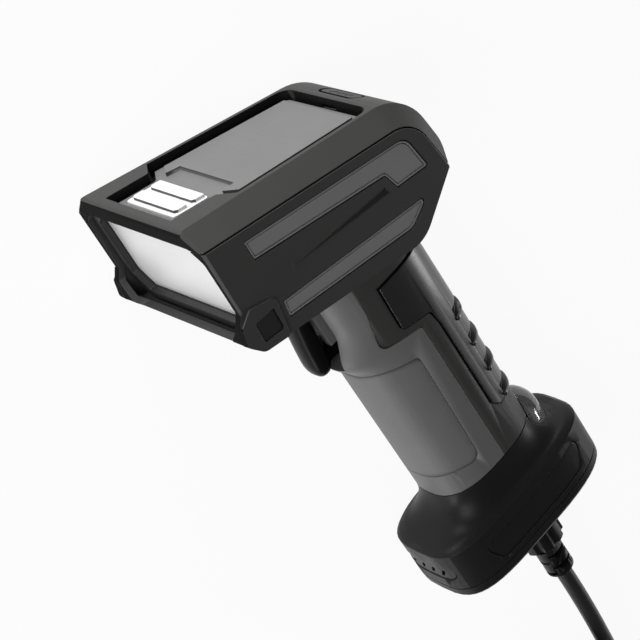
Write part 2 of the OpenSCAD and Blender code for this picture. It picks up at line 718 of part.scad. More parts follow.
panel_shape = [[grip_x + 26, -panel_top - 2, 2], [grip_x + 21, -panel_foot, 3], [grip_x - 24, -panel_foot, 5],
    [grip_x - 28, -panel_top - 2, 3], [grip_x - 26, -panel_top, 2]];
panel_d = 1;
module panel_slice(grow, from, to) {
    grip() intersection() {
        translate([0, 0, -base_foot]) linear_extrude(side_h) difference() {
            base_plan(from);
            base_plan(to);
        }
        side_view(panel_shape, grow);
    }
}
strip_s = brim_s + 9;
strip_l = 27;
strip_h = 7;
strip_d = 1.2;
module strip_slice(grow, from, to) {
    grip() intersection() {
        translate([0, 0, -base_foot]) linear_extrude(side_h) difference() {
            base_plan(from);
            base_plan(to);
        }
        translate([base_x, 0, -strip_s]) rotate([90, 0, 90]) linear_extrude(100)
            rotate(90) pill(strip_l + 2 * grow, strip_h + 2 * grow);
    }
}
lens_x = grip_back + 3.5;
lens_top = grip_end - 7;
boss_h = 12;
module base_bosses() {
    for (p = screw_places) {
        out = sign(p[0] - base_x);
        translate([p[0], p[1], -base_foot]) cylinder(r = screw_r + 2, h = boss_h);
        translate([p[0] + (out < 0 ? base_x - base_l / 2 + wall - p[0] : 0), p[1] - 0.8, -base_foot])
            cube([base_l / 2 - wall - abs(p[0] - base_x), 1.6, boss_h]);
    }
}
module base_housing() {
    color("#1f1f1f") difference() {
        union() {
            grip() loft(concat(flare(0, 0), [base_ring(brim_s, 1, 0), base_ring(base_foot, 1, 0)],
                [base_ring(base_foot, 1, wall), base_ring(brim_s + wall, 1, wall)], reversed(flare(wall, wall))), true);
            grip() base_bosses();
        }
        grip() for (p = screw_places) translate([p[0], p[1], -base_foot - 1]) cylinder(r = screw_r + 0.05, h = screw_l);
        panel_slice(inset_gap, -3, panel_d);
        strip_slice(0, -3, strip_d);
        grip() translate([lens_x, 0, -brim_s]) cylinder(r = lens_r + 0.1, h = brim_s - lens_top);
    }
}
module base_panel(right) {
    half = [-big / 2, right ? -big : 0, -big];
    color("#1a1a1a") intersection() {
        panel_slice(-inset_gap, 0.25, panel_d);
        translate(half) cube([big, big, big]);
    }
}
module contact_strip() {
    color("#3b3b3b") difference() {
        strip_slice(-0.45, 0.3, strip_d);
        grip() for (i = [-1.5:1.5]) translate([base_x, i * strip_l / 5, -strip_s]) rotate([90, 0, 90]) linear_extrude(100)
            rotate(-35) pill(3.6, 1.3);
    }
}
// Domed lens that stands out of the flare behind the grip
module rear_lens() {
    straight = brim_s - 4 - lens_top - lens_r;
    color("#6c6c6c") grip() difference() {
        translate([lens_x, 0, 4 - brim_s]) rotate_extrude() polygon(concat([[0, 0], [lens_r, 0]],
            [for (a = [0:10:90]) [lens_r * cos(a), straight + lens_r * sin(a)]]));
        translate([0, 0, -brim_s - 1]) linear_extrude(brim_s) grip_plan(-0.3);
    }
}
module base_plate() {
    color("#202020") difference() {
        grip() loft([base_ring(base_foot + seam, 1, 0), base_ring(base_bottom - 1.4, 1, 0.2),
            base_ring(base_bottom - 0.4, 1, 0.8), base_ring(base_bottom, 1, 1.8)]);
        grip() translate([cable_x, 0, -base_bottom - 1]) cylinder(r = gland_r - 1.5, h = plate_t + 2);
        grip() for (p = screw_places) translate([p[0], p[1], -base_bottom - 1]) {
            cylinder(r = screw_r + 0.1, h = plate_t + 2);
            cylinder(r = screw_r * 2 + 0.1, h = 1 + screw_r * 1.2);
        }
    }
}
module base_screws() {
    color("#8a8c8e") grip() for (p = screw_places) translate([p[0], p[1], -base_bottom + 0.3]) {
        cylinder(r = screw_r * 2, h = screw_r * 1.2 - 0.3);
        cylinder(r = screw_r, h = plate_t + screw_l - 2);
    }
}
socket_h = 9;
module cable_socket() {
    color("#d8d8d2") grip() translate([cable_x - 7, -6.5, -base_foot - seam]) cube([14, 13, socket_h]);
}

// Cable: gland nut, strain relief, tube, coil, tie, plug
nut_from = base_bottom + 6.5;
gland_foot = base_bottom + gland_l;
relief_foot = gland_foot + relief_l;
lobes = 8;
module gland_nut() {
    color("#1b1b1b") grip() translate([cable_x, 0, 0]) difference() {
        union() {
            translate([0, 0, -nut_from - eps]) cylinder(r = gland_r - 1.6, h = nut_from - base_foot - 1.5);
            translate([0, 0, -gland_foot]) difference() {
                cylinder(r = gland_r, h = gland_foot - nut_from);
                for (k = [0:lobes - 1]) rotate(360 * k / lobes) translate([gland_r + 1.1, 0, -1]) cylinder(r = 2, h = 40);
            }
        }
        translate([0, 0, -gland_foot - 1]) cylinder(r = relief_d / 2 + 0.05, h = 60);
    }
}
relief_slots = 5;
module strain_relief() {
    slot_w = 1.3;
    grip_in = 12;
    pitch = (relief_l - 3) / relief_slots;
    color("#181818") grip() translate([cable_x, 0, -relief_foot]) difference() {
        rotate_extrude() polygon([[0, 0], [relief_d / 2 - 1.2, 0], [relief_d / 2, 1.4], [relief_d / 2, relief_l + grip_in],
            [0, relief_l + grip_in]]);
        for (k = [0:relief_slots - 1]) translate([0, 0, 2.4 + k * pitch]) for (m = [0, 1]) rotate(90 * (k % 2) + 180 * m)
            translate([cable_d / 2 + 0.5, -20, 0]) cube([20, 40, slot_w]);
    }
}

// Rest on the right side: the plane through the lug, the rear of the head's rim and the base's foot
function from_grip(p) = [p[0] * cos(grip_lean) + p[2] * sin(grip_lean), p[1],
    p[2] * cos(grip_lean) - p[0] * sin(grip_lean)];
rest_lug = [lug_rear, -half_at(lug_rear) - lug_proud, -head_h];
rest_rim_x = rear_foot[0] + 5;
rest_rim = [rest_rim_x, -half_at(rest_rim_x), -head_h];
rest_base = from_grip(base_ring(base_bottom - 1.4, 1, 0.2)[35]);
up = unit(cross(rest_base - rest_lug, rest_rim - rest_lug));
fore = unit([1, 0, 0] - up * up[0]);
left = cross(up, fore);
// Point of the upright scanner that comes to lie at the origin
middle = [-70.4, 0, -107.8];
origin = middle - up * (up * (middle - rest_lug));
module lay_down() {
    multmatrix([[fore[0], fore[1], fore[2], -fore * origin], [left[0], left[1], left[2], -left * origin],
        [up[0], up[1], up[2], -up * origin]]) children();
}
function laid(p) = [fore * (p - origin), left * (p - origin), up * (p - origin)];
cable_start = laid(from_grip([cable_x, 0, -relief_foot]));
cable_way = laid(from_grip([cable_x, 0, -relief_foot - 10])) - cable_start;
// The coil on the surface, its turns, and where the cable meets it
coil_at = [-26, 196];
coil_r = 37;
coil_rows = 3;
coil_angle = 180 + grip_lean;
coil_gap = 35;
turn_r = coil_r + cable_d;
function on_coil(a, r, z) = [coil_at[0] + r * cos(a), coil_at[1] + r * sin(a), z];
coil_way = [sin(coil_angle), -cos(coil_angle), 0];
coil_in = on_coil(coil_angle, turn_r, cable_d / 2);
coil_out = on_coil(coil_angle, turn_r, cable_d * (coil_rows - 0.5));
cable_route = [cable_start, cable_start + cable_way, [-52.5, 128, 15.6], [-55, 137.5, 13.8],
    [-57.5, 147, 11.6], [-60, 156, 8.9], [-62, 164, 6.2], [-64, 170, 4.4], coil_in - 10 * coil_way, coil_in];
module cable() {
    color("#222222") sweep(cable_route, cable_d / 2, 10);
}
coil_half = 1.5 * cable_d;
module coil_section(i = 0) {
    translate([coil_r, coil_half]) square(2 * (coil_half - i), center = true);
}
tie_angle = coil_angle - 170;
tie_w = 5;
tie_t = 1;
module tie_band() {
    translate([coil_at[0], coil_at[1], 0]) rotate(tie_angle) rotate([90, 0, 0]) linear_extrude(tie_w, center = true)
        difference() {
            coil_section(-0.5);
            coil_section(tie_t);
        }
}
module cable_coil() {
    color("#222222") difference() {
        translate([coil_at[0], coil_at[1], 0]) for (top = [0, 1]) rotate(coil_angle - (top ? 0 : 360 - coil_gap))
            rotate_extrude(angle = 360 - coil_gap) intersection() {
                coil_section();
                translate([0, top * coil_half]) square([200, coil_half]);
            }
        tie_band();
    }
}
module cable_tie() {
    color("#111111") translate([coil_at[0], coil_at[1], 0]) rotate(tie_angle) rotate([90, 0, 0])
        linear_extrude(tie_w - 0.1, center = true) difference() {
            coil_section(0);
            coil_section(tie_t);
        }
}
// Tail of the cable, from the top of the coil to the plug
plug_z = 4.5;
plug_at = coil_out + 62 * coil_way + [0, 0, plug_z - coil_out[2]];
tail_steps = [[12, 0], [18, 0.8], [24, 2.5], [31, 5.2], [38, 8], [45, 10.4]];
tail_route = concat([coil_out], [for (t = tail_steps) coil_out + t[0] * coil_way - [0, 0, t[1]]],
    [plug_at - 10 * coil_way, plug_at]);
module cable_tail() {
    color("#222222") sweep(tail_route, cable_d / 2, 10);
}
module at_plug(d) {
    translate(plug_at + d * coil_way) rotate(90 + grip_lean) rotate([90, 0, 90]) children();
}
plug_l = 32;
module plug_body() {
    color("#1c1c1c") {
        at_plug(0) linear_extrude(8) circle(d = cable_d + 2);
        at_plug(8 - eps) linear_extrude(plug_l - 8) polygon(rounded([for (c = [[1, 1], [-1, 1], [-1, -1], [1, -1]])
            [8 * c[0], (plug_z - 0.2) * c[1], 2]], 4));
    }
}
module plug_shell() {
    color("#b5b8ba") at_plug(plug_l) difference() {
        linear_extrude(12.5) square([12, 4.5], center = true);
        translate([0, 0, 1]) linear_extrude(20) square([11.2, 3.7], center = true);
    }
    color("#b5b8ba") at_plug(plug_l) translate([-5.6, -1.86, 0.5]) cube([11.2, 1.9, 10.5]);
}

// Inside the head: optics
optics_front = -13;
optics_rear = -37;
optics_floor = -head_h + wall;
lens_axis_z = -25;
post_r = 2;
module optics_frame() {
    half = 22;
    top = -13;
    color("#2a2a2a") {
        translate([optics_rear, -half, optics_floor]) cube([optics_front - optics_rear - 4, 2 * half, 2]);
        translate([optics_rear, -half, optics_floor]) cube([2, 2 * half, top - optics_floor]);
        for (y = [1, -1]) for (z = [-1, 1]) translate([optics_rear, y * 19, lens_axis_z + z * 8.5])
            rotate([0, 90, 0]) cylinder(r = post_r, h = post_l);
    }
}
post_l = 18;
lamp_x = optics_rear + post_l;
lamp_board_size = [22, 48];
imager_board_size = [28, 22];
lamp_places = [for (y = [-18, -11, 11, 18]) for (z = [-5, 5]) [y, z]];
barrel_r = [7.5, 5.5, 4.2];
barrel_l = [7, 12, 9];
lamp_r = 2.2;
lamp_h = 1.4;
module imager_board() {
    color("#1f5a36") translate([optics_rear + 2, -imager_board_size[0] / 2, lens_axis_z - imager_board_size[1] / 2])
        cube([board_t, each imager_board_size]);
}
module lens_barrel() {
    color("#141414") translate([optics_rear + 2 + board_t, 0, lens_axis_z]) rotate([0, 90, 0]) difference() {
        union() {
            cylinder(r = barrel_r[0], h = barrel_l[0]);
            cylinder(r = barrel_r[1], h = barrel_l[1]);
        }
        translate([0, 0, barrel_l[2]]) cylinder(r = barrel_r[2], h = barrel_l[1]);
    }
}
module lamp_board() {
    color("#1f5a36") translate([lamp_x, 0, lens_axis_z]) rotate([0, 90, 0]) difference() {
        translate([-lamp_board_size[0] / 2, -lamp_board_size[1] / 2, 0]) cube([each lamp_board_size, board_t]);
        translate([0, 0, -1]) cylinder(r = barrel_r[0] - 0.5, h = board_t + 2);
    }
}
module lamp_lenses() {
    color("#e4e6e8") for (p = lamp_places) translate([lamp_x + board_t, p[0], lens_axis_z + p[1]])
        rotate([0, 90, 0]) cylinder(r = lamp_r, h = lamp_h);
}

lay_down() head_cover();
lay_down() head_housing();
lay_down() window_bezel();
lay_down() window_gasket();
lay_down() scan_window();
lay_down() top_panel();
lay_down() status_light();
lay_down() sounder_grille();
lay_down() stripe(upper_stripe, false);  // upper_stripe_left
lay_down() stripe(upper_stripe, true);  // upper_stripe_right
lay_down() stripe(lower_stripe, false);  // lower_stripe_left
lay_down() stripe(lower_stripe, true);  // lower_stripe_right
lay_down() lug_pads();
lay_down() grip_frame();
lay_down() grip_shell();
lay_down() grip_pad();
lay_down() back_spine();
lay_down() trigger();
lay_down() trigger_lever();
lay_down() trigger_pin();
lay_down() trigger_spring();
lay_down() trigger_switch();
lay_down() base_housing();
lay_down() base_plate();
lay_down() base_panel(false);  // base_panel_left
lay_down() base_panel(true);  // base_panel_right
lay_down() contact_strip();
lay_down() rear_lens();
lay_down() gland_nut();
lay_down() strain_relief();
cable();
cable_coil();
cable_tail();
cable_tie();
plug_body();
plug_shell();
lay_down() optics_frame();
lay_down() imager_board();
lay_down() lens_barrel();
lay_down() lamp_board();
lay_down() lamp_lenses();
lay_down() main_board();
lay_down() sounder();
lay_down() cable_socket();
lay_down() base_screws();
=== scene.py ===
# Looks of a handheld barcode scanner that lies on its right side: finishes, cable, camera and light.
import json
import math

import bpy
from mathutils import Matrix, Vector


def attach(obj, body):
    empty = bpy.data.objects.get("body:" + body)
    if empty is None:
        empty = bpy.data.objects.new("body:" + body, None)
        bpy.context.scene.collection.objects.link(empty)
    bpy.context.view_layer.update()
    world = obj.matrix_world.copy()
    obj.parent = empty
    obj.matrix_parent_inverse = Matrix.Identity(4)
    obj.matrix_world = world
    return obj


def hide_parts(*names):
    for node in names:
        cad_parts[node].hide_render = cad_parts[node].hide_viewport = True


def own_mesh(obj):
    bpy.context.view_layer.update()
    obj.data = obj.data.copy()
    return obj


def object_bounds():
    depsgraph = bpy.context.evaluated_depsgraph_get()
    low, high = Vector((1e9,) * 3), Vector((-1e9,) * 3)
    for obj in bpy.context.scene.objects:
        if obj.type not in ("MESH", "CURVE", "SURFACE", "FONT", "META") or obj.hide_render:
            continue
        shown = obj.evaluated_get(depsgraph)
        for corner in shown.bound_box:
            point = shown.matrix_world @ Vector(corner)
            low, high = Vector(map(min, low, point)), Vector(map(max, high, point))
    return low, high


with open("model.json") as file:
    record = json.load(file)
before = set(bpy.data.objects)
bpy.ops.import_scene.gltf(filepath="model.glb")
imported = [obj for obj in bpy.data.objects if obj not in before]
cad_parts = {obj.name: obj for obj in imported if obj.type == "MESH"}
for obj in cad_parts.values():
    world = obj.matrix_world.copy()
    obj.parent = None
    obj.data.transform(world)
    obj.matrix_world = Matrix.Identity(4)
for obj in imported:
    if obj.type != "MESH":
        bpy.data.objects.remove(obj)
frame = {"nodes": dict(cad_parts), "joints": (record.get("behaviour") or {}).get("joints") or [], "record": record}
cad_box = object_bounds()
nodes = frame["nodes"]
scene = bpy.context.scene
scene.view_settings.view_transform = "Standard"
bpy.ops.object.select_all(action="DESELECT")

# The scanner's own upright frames, in millimetres: the grip's is placed by the trigger pin, and the head's
# leans off it
MM = 0.001
GRIP_LEAN = math.radians(15)
PIN_IN_GRIP = Vector((-32.5, 0, -51))
trigger_joint = frame["joints"][0]
base_mount = next(m for m in frame["record"]["mounts"] if m["name"] == "base_underside")
to_left = Vector(trigger_joint["axis"]).normalized()
grip_up = -Vector(base_mount["axis"]).normalized()
grip_fore = to_left.cross(grip_up).normalized()
GRIP = (Matrix.Translation(trigger_joint["pos_m"])
        @ Matrix((grip_fore, to_left, grip_up)).transposed().to_4x4()
        @ Matrix.Scale(MM, 4) @ Matrix.Translation(-PIN_IN_GRIP))
HEAD = GRIP @ Matrix.Rotation(-GRIP_LEAN, 4, "Y")

# Camera, placed round the upright scanner as the photograph was taken
CAMERA_AT = Vector((282.2, 599.8, 278.6))
CAMERA_AIM = Vector((-53.8, 0, -69.2))
CAMERA_ROLL = math.radians(-18.57)
CAMERA_LENS = 129.4


def add_camera():
    data = bpy.data.cameras.new("camera")
    data.lens = CAMERA_LENS
    data.sensor_width = 36
    camera = bpy.data.objects.new("camera", data)
    scene.collection.objects.link(camera)
    at = HEAD @ CAMERA_AT
    ahead = (HEAD @ CAMERA_AIM - at).normalized()
    head_up = (HEAD.to_3x3() @ Vector((0, 0, 1))).normalized()
    level = ahead.cross(head_up).normalized()
    right = level * math.cos(CAMERA_ROLL) + level.cross(ahead) * math.sin(CAMERA_ROLL)
    up = right.cross(ahead)
    camera.matrix_world = Matrix.Translation(at) @ Matrix((right, up, -ahead)).transposed().to_4x4()
    scene.camera = camera


add_camera()

# Cable: out of the strain relief, down to the surface, round the coil and on to the plug
CABLE_D = 0.0065
CABLE_START = (-0.04742, 0.10863, 0.01785)
CABLE_WAY = (-0.00253, 0.00963, -0.00088)
SAG_POINTS = [(-0.0525, 0.128, 0.0156), (-0.055, 0.1375, 0.0138), (-0.0575, 0.147, 0.0116),
              (-0.06, 0.156, 0.0089), (-0.062, 0.164, 0.0062), (-0.064, 0.17, 0.0044)]
# Straight run that leads into the coil
LEAD_IN = 0.01
COIL_AT = Vector((-0.026, 0.196, 0))
COIL_R = 0.037
COIL_ANGLE = math.radians(195)
# Rings of the coil from first to last, as steps across and up from its middle ring
COIL_TURNS = [(1, 0), (0, 0), (-1, 0), (-1, 1), (0, 1), (1, 1), (0, 2), (1, 2)]
STEPS_PER_TURN = 24
# From the coil's end to the plug, as millimetres along and up
TAIL_POINTS = [(12, 0), (18, -0.8), (24, -2.5), (31, -5.2), (38, -8), (45, -10.4), (52, -11.75), (62, -11.75)]


def coil_point(turns):
    """Point that many turns along the coil, which moves to its next ring over the last third of a turn."""
    ring = min(int(turns), len(COIL_TURNS) - 1)
    share = max(0, (turns - ring) - 2 / 3) * 3
    ease = share * share * (3 - 2 * share)
    here = Vector(COIL_TURNS[ring])
    there = Vector(COIL_TURNS[min(ring + 1, len(COIL_TURNS) - 1)])
    across, up = here + (there - here) * ease
    angle = COIL_ANGLE - 2 * math.pi * turns
    radius = COIL_R + across * CABLE_D
    return COIL_AT + Vector((radius * math.cos(angle), radius * math.sin(angle), (up + 0.5) * CABLE_D))


def add_cable():
    start = Vector(CABLE_START)
    way = Vector((math.sin(COIL_ANGLE), -math.cos(COIL_ANGLE), 0))
    turns = len(COIL_TURNS)
    points = [start, start + Vector(CABLE_WAY)] + [Vector(p) for p in SAG_POINTS]
    points.append(coil_point(0) - LEAD_IN * way)
    points += [coil_point(k / STEPS_PER_TURN) for k in range(turns * STEPS_PER_TURN + 1)]
    points += [points[-1] + MM * (along * way + Vector((0, 0, drop))) for along, drop in TAIL_POINTS]
    curve = bpy.data.curves.new("cable_cord", "CURVE")
    curve.dimensions = "3D"
    curve.bevel_depth = 1
    curve.bevel_resolution = 5
    curve.resolution_u = 4
    spline = curve.splines.new("BEZIER")
    spline.bezier_points.add(len(points) - 1)
    for knot, p in zip(spline.bezier_points, points):
        knot.co = p
        knot.radius = CABLE_D / 2
        knot.handle_left_type = "AUTO"
        knot.handle_right_type = "AUTO"
    cable = bpy.data.objects.new("cable_cord", curve)
    scene.collection.objects.link(cable)
    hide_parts("cable", "cable_coil", "cable_tail")
    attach(cable, "body")
    return cable


cable_cord = add_cable()

# Finishes
CLOUD_MM = 14
GRAIN_DEPTH_MM = 0.06
SHEEN_SPREAD = 0.05


def hex_colour(code):
    """sRGB hex to linear, with alpha."""
    parts = [int(code[i:i + 2], 16) / 255 for i in (1, 3, 5)]
    return [c / 12.92 if c <= 0.04045 else ((c + 0.055) / 1.055) ** 2.4 for c in parts] + [1]


def per_metre(size_mm):
    """Texture scale at which one cell of the pattern is that many millimetres."""
    return 1 / (size_mm * MM)


def add_node(tree, kind, links=None, **settings):
    """Adds a node; settings are its properties or unlinked inputs, links are inputs fed by other sockets."""
    node = tree.nodes.new(kind)
    for name, value in settings.items():
        if hasattr(node, name):
            setattr(node, name, value)
        else:
            node.inputs[name.replace("_", " ")].default_value = value
    for name, source in (links or {}).items():
        tree.links.new(source, node.inputs[name])
    return node


def new_finish(name):
    finish = bpy.data.materials.new(name)
    finish.use_nodes = True
    tree = finish.node_tree
    tree.nodes.clear()
    output = tree.nodes.new("ShaderNodeOutputMaterial")
    return finish, tree, output


def moulded(name, dark, light, roughness, grain_mm=0.5, grain=0.12, edge_mm=0.35, specular=0.5, ior=1.53):
    """Moulded plastic or rubber: a fine even grain, a faint cloudiness and softly broken edges."""
    finish, tree, output = new_finish(name)
    place = add_node(tree, "ShaderNodeTexCoord").outputs["Object"]
    cloud = add_node(tree, "ShaderNodeTexNoise", {"Vector": place}, Scale=per_metre(CLOUD_MM), Detail=3.0,
                     Roughness=0.6)
    tint = add_node(tree, "ShaderNodeMix", {"Factor": cloud.outputs["Fac"]}, data_type="RGBA")
    tint.inputs[6].default_value = hex_colour(dark)
    tint.inputs[7].default_value = hex_colour(light)
    pits = add_node(tree, "ShaderNodeTexNoise", {"Vector": place}, Scale=per_metre(grain_mm), Detail=2.0)
    sheen = add_node(tree, "ShaderNodeMapRange", {"Value": pits.outputs["Fac"]}, From_Min=0.3, From_Max=0.7,
                     To_Min=roughness - SHEEN_SPREAD, To_Max=roughness + SHEEN_SPREAD)
    edge = add_node(tree, "ShaderNodeBevel", samples=8, Radius=edge_mm * MM)
    skin = add_node(tree, "ShaderNodeBump", {"Height": pits.outputs["Fac"], "Normal": edge.outputs["Normal"]},
                    Strength=grain, Distance=GRAIN_DEPTH_MM * MM)
    shader = add_node(tree, "ShaderNodeBsdfPrincipled",
                      {"Base Color": tint.outputs[2], "Normal": skin.outputs["Normal"],
                       "Roughness": sheen.outputs["Result"]}, IOR=ior)
    shader.inputs["Specular IOR Level"].default_value = specular
    tree.links.new(shader.outputs["BSDF"], output.inputs["Surface"])
    return finish


def plain_steel(name):
    """Nickel-plated steel, a little uneven in its polish."""
    finish, tree, output = new_finish(name)
    place = add_node(tree, "ShaderNodeTexCoord").outputs["Object"]
    wear = add_node(tree, "ShaderNodeTexNoise", {"Vector": place}, Scale=per_metre(0.4), Detail=3.0)
    sheen = add_node(tree, "ShaderNodeMapRange", {"Value": wear.outputs["Fac"]}, To_Min=0.22, To_Max=0.38)
    shader = add_node(tree, "ShaderNodeBsdfPrincipled", {"Roughness": sheen.outputs["Result"]},
                      Base_Color=hex_colour("#b9bcbe"), Metallic=1.0)
    tree.links.new(shader.outputs["BSDF"], output.inputs["Surface"])
    return finish


def coated_glass(name):
    """Window of mirror-coated float glass: a pale even reflection, a little hazy."""
    finish, tree, output = new_finish(name)
    place = add_node(tree, "ShaderNodeTexCoord").outputs["Object"]
    haze = add_node(tree, "ShaderNodeTexNoise", {"Vector": place}, Scale=per_metre(30), Detail=1.0)
    tint = add_node(tree, "ShaderNodeMix", {"Factor": haze.outputs["Fac"]}, data_type="RGBA")
    tint.inputs[6].default_value = hex_colour("#ececec")
    tint.inputs[7].default_value = hex_colour("#f4f4f4")
    shader = add_node(tree, "ShaderNodeBsdfPrincipled", {"Base Color": tint.outputs[2]}, Roughness=0.4,
                      IOR=1.52, Metallic=0.5)
    tree.links.new(shader.outputs["BSDF"], output.inputs["Surface"])
    return finish


def smoked_clear(name):
    """Smoked polycarbonate lens: clear and glossy, grey right through."""
    finish, tree, output = new_finish(name)
    place = add_node(tree, "ShaderNodeTexCoord").outputs["Object"]
    flow = add_node(tree, "ShaderNodeTexNoise", {"Vector": place}, Scale=per_metre(6), Detail=1.0)
    wave = add_node(tree, "ShaderNodeBump", {"Height": flow.outputs["Fac"]}, Strength=0.05, Distance=0.2 * MM)
    shader = add_node(tree, "ShaderNodeBsdfPrincipled", {"Normal": wave.outputs["Normal"]},
                      Base_Color=hex_colour("#7d7d7d"), Roughness=0.08, IOR=1.58)
    shader.inputs["Transmission Weight"].default_value = 0.6
    tree.links.new(shader.outputs["BSDF"], output.inputs["Surface"])
    return finish


cover_abs = moulded("cover ABS, fine spark grain", "#2e2e2d", "#343433", 0.55, specular=0.35)
housing_abs = moulded("housing ABS, fine spark grain", "#323232", "#383837", 0.55, specular=0.35)
# Painted shade: near-black for the forward-facing faces of the nose's front edge
nose_shade_abs = moulded("nose edge ABS, painted shade black", "#101010", "#141414", 0.8, specular=0.05)
bezel_abs = moulded("bezel ABS, satin black", "#121212", "#161616", 0.45)
# Painted shade: near-black for the recess walls and the grille's groove, which lie in shade
recess_shade_abs = moulded("recess walls ABS, painted shade black", "#0c0c0c", "#101010", 0.6, specular=0.2)
gasket_foam = moulded("gasket foam, matt black", "#0b0b0b", "#121212", 0.85, grain_mm=0.4, grain=0.4)
panel_abs = moulded("top panel ABS, satin grey", "#686868", "#707070", 0.55, grain=0.06)
# Painted shade: darker grey for the top panel's steep walls
panel_wall_shade_abs = moulded("top panel walls, painted shade grey", "#383838", "#3e3e3e", 0.55, grain=0.06)
light_acrylic = moulded("status light opal acrylic", "#dcdcdc", "#e4e4e4", 0.4, grain=0.03, ior=1.49)
# Painted shade: dark grey for the front walls of the status light's two bars
bar_wall_shade = moulded("status light bar walls, painted shade", "#3a3a3a", "#424242", 0.5, grain=0.03)
stripe_abs = moulded("stripe ABS, satin grey", "#7a7a7a", "#828282", 0.5)
frame_abs = moulded("grip frame ABS, satin black", "#363635", "#3c3c3b", 0.48, grain=0.06, specular=0.3)
spine_abs = moulded("spine ABS, satin black", "#171717", "#1b1b1b", 0.34, grain=0.0, edge_mm=0.6,
                    specular=0.7)
grip_abs = moulded("grip shell ABS, satin grey", "#666666", "#6e6e6e", 0.45, specular=0.35)
pad_rubber = moulded("grip pad rubber overmould", "#6c6c6c", "#747474", 0.55, grain=0.15, edge_mm=3,
                     specular=0.35)
trigger_abs = moulded("trigger ABS, polished black", "#0e0e0e", "#121212", 0.28, grain=0.02, edge_mm=1.5,
                      specular=0.07)
base_abs = moulded("base ABS, satin black", "#1d1d1d", "#212121", 0.4, grain=0.04, specular=0.15)
strip_abs = moulded("contact strip ABS", "#191919", "#1e1e1e", 0.4, specular=0.25)
gland_nylon = moulded("gland nylon, black", "#101010", "#141414", 0.36, specular=0.25)
cable_pvc = moulded("cable PVC jacket", "#1a1a1a", "#202020", 0.45, grain_mm=0.8, grain=0.08)
board_epoxy = moulded("circuit board, green solder mask", "#174a2c", "#1f5a36", 0.35)
lamp_acrylic = moulded("lamp lens acrylic", "#dcdee0", "#e8eaec", 0.2, grain=0.0, ior=1.49)
socket_nylon = moulded("cable socket nylon, ivory", "#d2d2ca", "#dcdcd4", 0.45)
pin_steel = plain_steel("nickel-plated steel")
window_glass = coated_glass("coated window glass")
lens_pc = smoked_clear("smoked polycarbonate")

FINISHES = {
    cover_abs: ["head_cover", "sounder_grille"],
    housing_abs: ["head_housing"],
    bezel_abs: ["window_bezel", "lug_pads", "sounder", "lens_barrel", "optics_frame", "trigger_switch"],
    gasket_foam: ["window_gasket"],
    window_glass: ["scan_window"],
    panel_abs: ["top_panel"],
    light_acrylic: ["status_light"],
    stripe_abs: ["upper_stripe_left", "upper_stripe_right", "lower_stripe_left", "lower_stripe_right"],
    frame_abs: ["grip_frame"],
    spine_abs: ["back_spine"],
    grip_abs: ["grip_shell", "trigger_lever"],
    pad_rubber: ["grip_pad"],
    trigger_abs: ["trigger"],
    base_abs: ["base_housing", "base_plate", "base_panel_left", "base_panel_right"],
    strip_abs: ["contact_strip"],
    lens_pc: ["rear_lens"],
    gland_nylon: ["gland_nut", "strain_relief", "cable_tie", "plug_body"],
    pin_steel: ["trigger_pin", "trigger_spring", "base_screws", "plug_shell"],
    board_epoxy: ["imager_board", "lamp_board", "main_board"],
    lamp_acrylic: ["lamp_lenses"],
    socket_nylon: ["cable_socket"],
}
for finish, names in FINISHES.items():
    for name in names:
        mesh = nodes[name].data
        mesh.materials.clear()
        mesh.materials.append(finish)
cable_cord.data.materials.append(cable_pvc)

# Mouldings: outer pieces and the spring are merged copies of their solids, smooth across shallow edges
WELD_MM = 0.002
FLAT_BELOW = math.radians(0.2)
# Edges that turn by fewer degrees than this are smooth, with the two pieces that differ
SMOOTH_BELOW = 30
OWN_SMOOTH_BELOW = {"back_spine": 48, "base_housing": 25}
MOULDINGS = ["head_cover", "head_housing", "window_bezel", "top_panel", "status_light", "sounder_grille",
             "upper_stripe_left", "upper_stripe_right", "lower_stripe_left", "lower_stripe_right", "lug_pads",
             "grip_frame", "grip_shell", "grip_pad", "back_spine", "trigger", "trigger_lever", "base_housing",
             "base_plate", "base_panel_left", "base_panel_right", "contact_strip", "rear_lens", "gland_nut",
             "strain_relief", "cable_tie", "plug_body", "trigger_spring"]
# Those with no flat walls, which need no weighting of their normals
ROUNDED = ["grip_shell", "grip_pad", "back_spine", "trigger", "rear_lens"]
TRIGGER_PIECES = ["trigger", "trigger_lever"]


def add_moulding(name):
    piece = bpy.data.objects.new(name + "_moulding", nodes[name].data.copy())
    scene.collection.objects.link(piece)
    bpy.ops.object.select_all(action="DESELECT")
    piece.select_set(True)
    bpy.context.view_layer.objects.active = piece
    bpy.ops.object.mode_set(mode="EDIT")
    bpy.ops.mesh.select_all(action="SELECT")
    bpy.ops.mesh.remove_doubles(threshold=WELD_MM * MM)
    bpy.ops.mesh.dissolve_limited(angle_limit=FLAT_BELOW)
    bpy.ops.object.mode_set(mode="OBJECT")
    bpy.ops.object.shade_smooth_by_angle(angle=math.radians(OWN_SMOOTH_BELOW.get(name, SMOOTH_BELOW)))
    if name not in ROUNDED:
        bpy.ops.object.modifier_add(type="WEIGHTED_NORMAL")
        piece.modifiers[-1].keep_sharp = True
        bpy.ops.object.modifier_apply(modifier=piece.modifiers[-1].name)
    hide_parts(name)
    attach(piece, "trigger" if name in TRIGGER_PIECES else "body")
    return piece


mouldings = {name: add_moulding(name) for name in MOULDINGS}


def press_spring(spring):
    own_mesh(spring)


press_spring(mouldings["trigger_spring"])

# Painted shade: darker second colours, given to faces by their place and direction in the head's upright frame, in
# millimetres
TO_HEAD = HEAD.inverted()
RECESS_FRONT = -4.2
RECESS_HALF_W = 27.5
RECESS_TOP = -0.4
RECESS_FOOT = -6.5
RECESS_FLOOR = -5
NOSE_REAR = -16
